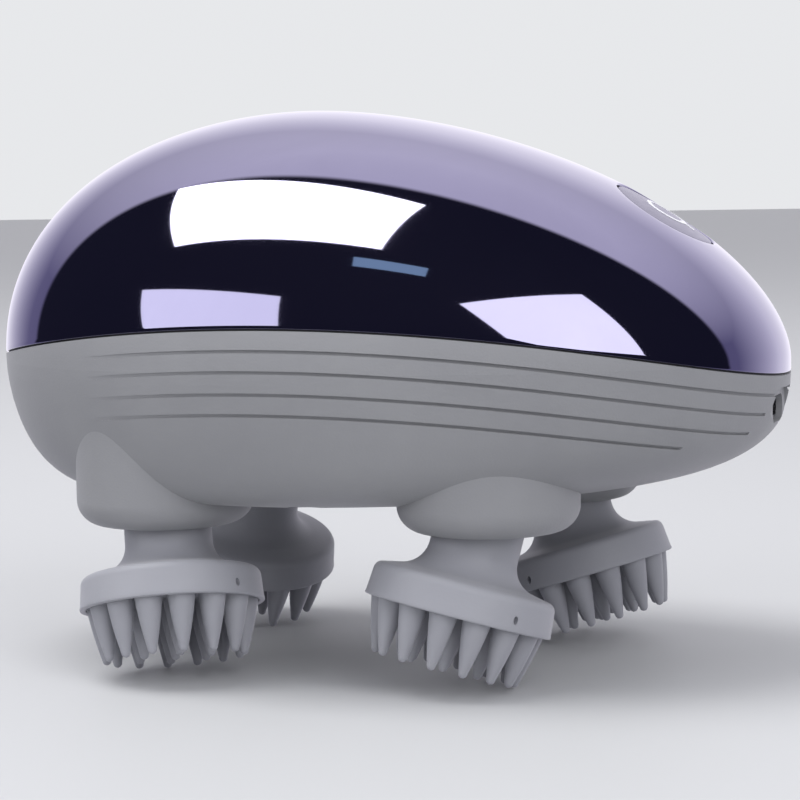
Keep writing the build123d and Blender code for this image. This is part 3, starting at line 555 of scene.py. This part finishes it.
def catch_cutter(turn):
    """A small rounded bar that pierces the rim where the pad's catch shows."""
    bm = bmesh.new()
    turned = Matrix.Rotation(radians(turn), 4, "Z") @ Matrix.Translation((rim_radius - 0.4, 0, -catch_reach))
    widened = Matrix.Scale(catch_width / catch_height, 4, (0, 0, 1))
    bmesh.ops.create_cone(
        bm,
        cap_ends=True,
        segments=20,
        radius1=catch_height / 2,
        radius2=catch_height / 2,
        depth=4,
        matrix=turned @ widened @ Matrix.Rotation(pi / 2, 4, "Y"),
    )
    return bm


def merged(first, *others):
    """Several bmeshes as one."""
    for other in others:
        mesh = bpy.data.meshes.new("passing")
        other.to_mesh(mesh)
        other.free()
        first.from_mesh(mesh)
        bpy.data.meshes.remove(mesh)
    return first


def cut(bm, cutter):
    """The first shape less the second, by Blender's exact boolean."""
    shapes = []
    for name, shape in (("body", bm), ("cutter", cutter)):
        bmesh.ops.recalc_face_normals(shape, faces=shape.faces)
        mesh = bpy.data.meshes.new(name)
        shape.to_mesh(mesh)
        shape.free()
        shapes.append(bpy.data.objects.new(name, mesh))
        bpy.context.scene.collection.objects.link(shapes[-1])
    boolean = shapes[0].modifiers.new("cut", "BOOLEAN")
    boolean.operation, boolean.solver, boolean.object = "DIFFERENCE", "EXACT", shapes[1]
    result = bmesh.new()
    result.from_object(shapes[0], bpy.context.evaluated_depsgraph_get())
    for shape in shapes:
        mesh = shape.data
        bpy.data.objects.remove(shape)
        bpy.data.meshes.remove(mesh)
    return result


def head_cup(place, hang):
    cup = spun(cup_profile(), 128)
    cup = cut(cup, merged(catch_cutter(catch_turn[place]), catch_cutter(catch_turn[place] + 180)))
    bmesh.ops.transform(cup, matrix=hang, verts=cup.verts)
    level = Vector((0, 0, equator - hub_drop))
    bmesh.ops.bisect_plane(
        cup,
        geom=cup.verts[:] + cup.edges[:] + cup.faces[:],
        plane_co=level,
        plane_no=(0, 0, 1),
        clear_outer=True,
    )
    bmesh.ops.holes_fill(cup, edges=rim_edges(cup))
    return cup


# %% [markdown]
# ## Finger pads
# A pad is a soft disc with a ring of fourteen fingers, a ring of six and one in the middle. One finger is
# turned from its profile, with a fillet at its root, then copied and leant inwards a little.

# %% Pad and fingers
finger_length, finger_root, finger_tip, root_fillet = 8.4, 2.15, 0.7, 0.5
finger_rings = ((14, 11.3, 4.0), (6, 6.0, 0.0), (1, 0.0, 0.0))


def finger_profile():
    """From the pad's floor, through the root's fillet and down the taper to a round tip."""
    floor = rim_reach - pad_floor
    points = [(0, floor + 0.8), (finger_root + root_fillet, floor + 0.4)]
    points += corner((finger_root + root_fillet, floor - root_fillet), root_fillet, 90, 180, 5)
    steps = 6
    for step in range(1, steps):
        share = step / steps
        start, end = floor - root_fillet, finger_tip - finger_length
        belly = 0.12 * sin(pi * share)
        width = finger_root + (finger_tip - finger_root) * share + belly
        points.append((width, start + (end - start) * share))
    return points + corner((0, finger_tip - finger_length), finger_tip, 0, -90, 6)


def finger_pad(hang):
    edge = rim_radius - rim_wall - 0.02
    base = [(0, pad_thickness - pad_floor), (edge, pad_thickness - pad_floor)]
    base += corner((edge - 0.5, 0.5 - pad_floor), 0.5, 0, -90, 5) + [(0, -pad_floor)]
    fingers = []
    for count, ring, lean in finger_rings:
        for step in range(count):
            finger = spun(finger_profile(), 28)
            stand = Matrix.Rotation(2 * pi * step / count, 4, "Z") @ Matrix.Translation((ring, 0, -rim_reach))
            bmesh.ops.transform(
                finger, matrix=stand @ Matrix.Rotation(radians(lean), 4, "Y"), verts=finger.verts
            )
            fingers.append(finger)
    pad = merged(spun(base, 96), *fingers)
    bmesh.ops.transform(pad, matrix=hang, verts=pad.verts)
    return pad


for place in low_side:
    hang = oblique(place)
    body = f"head_{place}"
    cup = head_cup(place, hang)
    finish_piece(cup, f"cup_{place}", body, silicone, [f"head_cup_{place}"], 35)
    finish_piece(finger_pad(hang), f"pad_{place}", body, silicone, [f"finger_pad_{place}"], 50)

# %% [markdown]
# ## The studio
# A mirror is only as good as what it mirrors. The room is bright behind the object and dark in front, which
# draws the pale band along the ridge and leaves the flank near black. One softbox overhead and two at the
# sides put their shapes into the dark flank.

# %% Floor
bpy.ops.mesh.primitive_plane_add(size=30)
floor = bpy.context.object
floor.name = "studio_floor"
floor_material, _, floor_shader = new_material("pale floor")
floor_shader.inputs["Base Color"].default_value = (0.6, 0.605, 0.615, 1)
floor_shader.inputs["Roughness"].default_value = 0.6
floor_shader.inputs["Specular IOR Level"].default_value = 0.2
floor.data.materials.append(floor_material)
floor.visible_glossy = False

# %% Room light
world = bpy.data.worlds.new("studio")
bpy.context.scene.world = world
world.use_nodes = True
sky = world.node_tree
sky.nodes.clear()
sky_out = add(sky, "ShaderNodeOutputWorld")
rays = add(sky, "ShaderNodeLightPath")
seen, fill, mirrored, dark = (add(sky, "ShaderNodeBackground") for _ in range(4))
seen.inputs["Color"].default_value = (0.80, 0.81, 0.83, 1)
fill.inputs["Color"].default_value = (0.62, 0.625, 0.645, 1)
direction = add(sky, "ShaderNodeTexCoord")
axes = add(sky, "ShaderNodeSeparateXYZ")
behind = add(sky, "ShaderNodeMapRange", From_Min=-1.0, From_Max=1.0)
room = add(sky, "ShaderNodeValToRGB")
room.color_ramp.elements[0].color = (0.006, 0.006, 0.012, 1)
room.color_ramp.elements[1].color = (1, 1, 1, 1)
for spot, value in ((0.588, 0.0), (0.604, 1.0)):
    room.color_ramp.elements.new(spot).color = (value, value, value, 1)
furthest = add(sky, "ShaderNodeMath", operation="MAXIMUM")
raised = add(sky, "ShaderNodeMapRange", From_Min=0.3, From_Max=0.85)
wall = add(sky, "ShaderNodeValToRGB")
wall.color_ramp.elements[0].color = (0.14, 0.13, 0.22, 1)
wall.color_ramp.elements[1].color = (0.62, 0.6, 0.68, 1)
dark.inputs["Color"].default_value = (0.019, 0.019, 0.036, 1)
mirrored.inputs["Strength"].default_value = 1.7
in_room = add(sky, "ShaderNodeMixShader")
sky.links.new(direction.outputs["Generated"], axes.inputs[0])
sky.links.new(axes.outputs["Y"], behind.inputs["Value"])
sky.links.new(behind.outputs["Result"], room.inputs["Fac"])
sky.links.new(axes.outputs["Y"], furthest.inputs[0])
sky.links.new(axes.outputs["Z"], furthest.inputs[1])
sky.links.new(furthest.outputs[0], raised.inputs["Value"])
sky.links.new(raised.outputs["Result"], wall.inputs["Fac"])
sky.links.new(wall.outputs["Color"], mirrored.inputs["Color"])
sky.links.new(room.outputs["Color"], in_room.inputs[0])
sky.links.new(dark.outputs[0], in_room.inputs[1])
sky.links.new(mirrored.outputs[0], in_room.inputs[2])
by_mirror = add(sky, "ShaderNodeMixShader")
by_camera = add(sky, "ShaderNodeMixShader")
sky.links.new(rays.outputs["Is Glossy Ray"], by_mirror.inputs[0])
sky.links.new(fill.outputs[0], by_mirror.inputs[1])
sky.links.new(in_room.outputs[0], by_mirror.inputs[2])
sky.links.new(rays.outputs["Is Camera Ray"], by_camera.inputs[0])
sky.links.new(by_mirror.outputs[0], by_camera.inputs[1])
sky.links.new(seen.outputs[0], by_camera.inputs[2])
sky.links.new(by_camera.outputs[0], sky_out.inputs["Surface"])

# %% Softboxes
middle = Vector((0, 0, equator * MM))


def softbox(name, azimuth, elevation, distance, size, glow, colour=(1, 1, 1), roll=0.0):
    """A panel aimed at the object. Azimuth 0 is towards the viewer, and glow is how bright its face looks."""
    a, e = radians(azimuth), radians(elevation)
    away = Vector((sin(a) * cos(e), -cos(a) * cos(e), sin(e)))
    light = bpy.data.lights.new(name, "AREA")
    light.shape, light.size, light.size_y = "RECTANGLE", size[0], size[1]
    light.energy = glow * pi * size[0] * size[1]
    light.color = colour
    lamp = bpy.data.objects.new(name, light)
    bpy.context.scene.collection.objects.link(lamp)
    turned = (-away).to_track_quat("-Z", "Y").to_matrix().to_4x4() @ Matrix.Rotation(radians(roll), 4, "Z")
    lamp.matrix_world = Matrix.Translation(middle + away * distance) @ turned
    lamp.visible_camera = False
    return lamp


softbox("overhead", -70, 68, 1.4, (1.0, 0.72), 5.2, roll=60)
softbox("left side", -42, 23, 1.4, (0.8, 0.5), 2.1, (0.93, 0.93, 1.0), roll=15)
softbox("right side", 44, 29, 1.4, (0.82, 1.05), 2.6, (0.96, 0.96, 1.0), roll=12)
softbox("strip", -2, 58, 1.5, (0.34, 0.12), 0.8, (0.5, 0.8, 1.0))

# %% Camera
camera_turn, camera_rise, camera_away, camera_roll = 17.5, 4.6, 398.0, 0.9
aim = Vector((1.8, 0, equator - 7.1)) * MM
a, e = radians(camera_turn), radians(camera_rise)
away = Vector((sin(a) * cos(e), -cos(a) * cos(e), sin(e)))
camera_data = bpy.data.cameras.new("camera")
camera_data.lens = 110.1
camera_data.sensor_width = 36.0
camera_data.clip_start = 0.01
camera = bpy.data.objects.new("camera", camera_data)
bpy.context.scene.collection.objects.link(camera)
looking = (-away).to_track_quat("-Z", "Y").to_matrix().to_4x4()
camera.matrix_world = (
    Matrix.Translation(aim + away * camera_away * MM)
    @ looking
    @ Matrix.Rotation(radians(-camera_roll), 4, "Z")
)
bpy.context.scene.camera = camera
bpy.context.scene.view_settings.view_transform = "Standard"
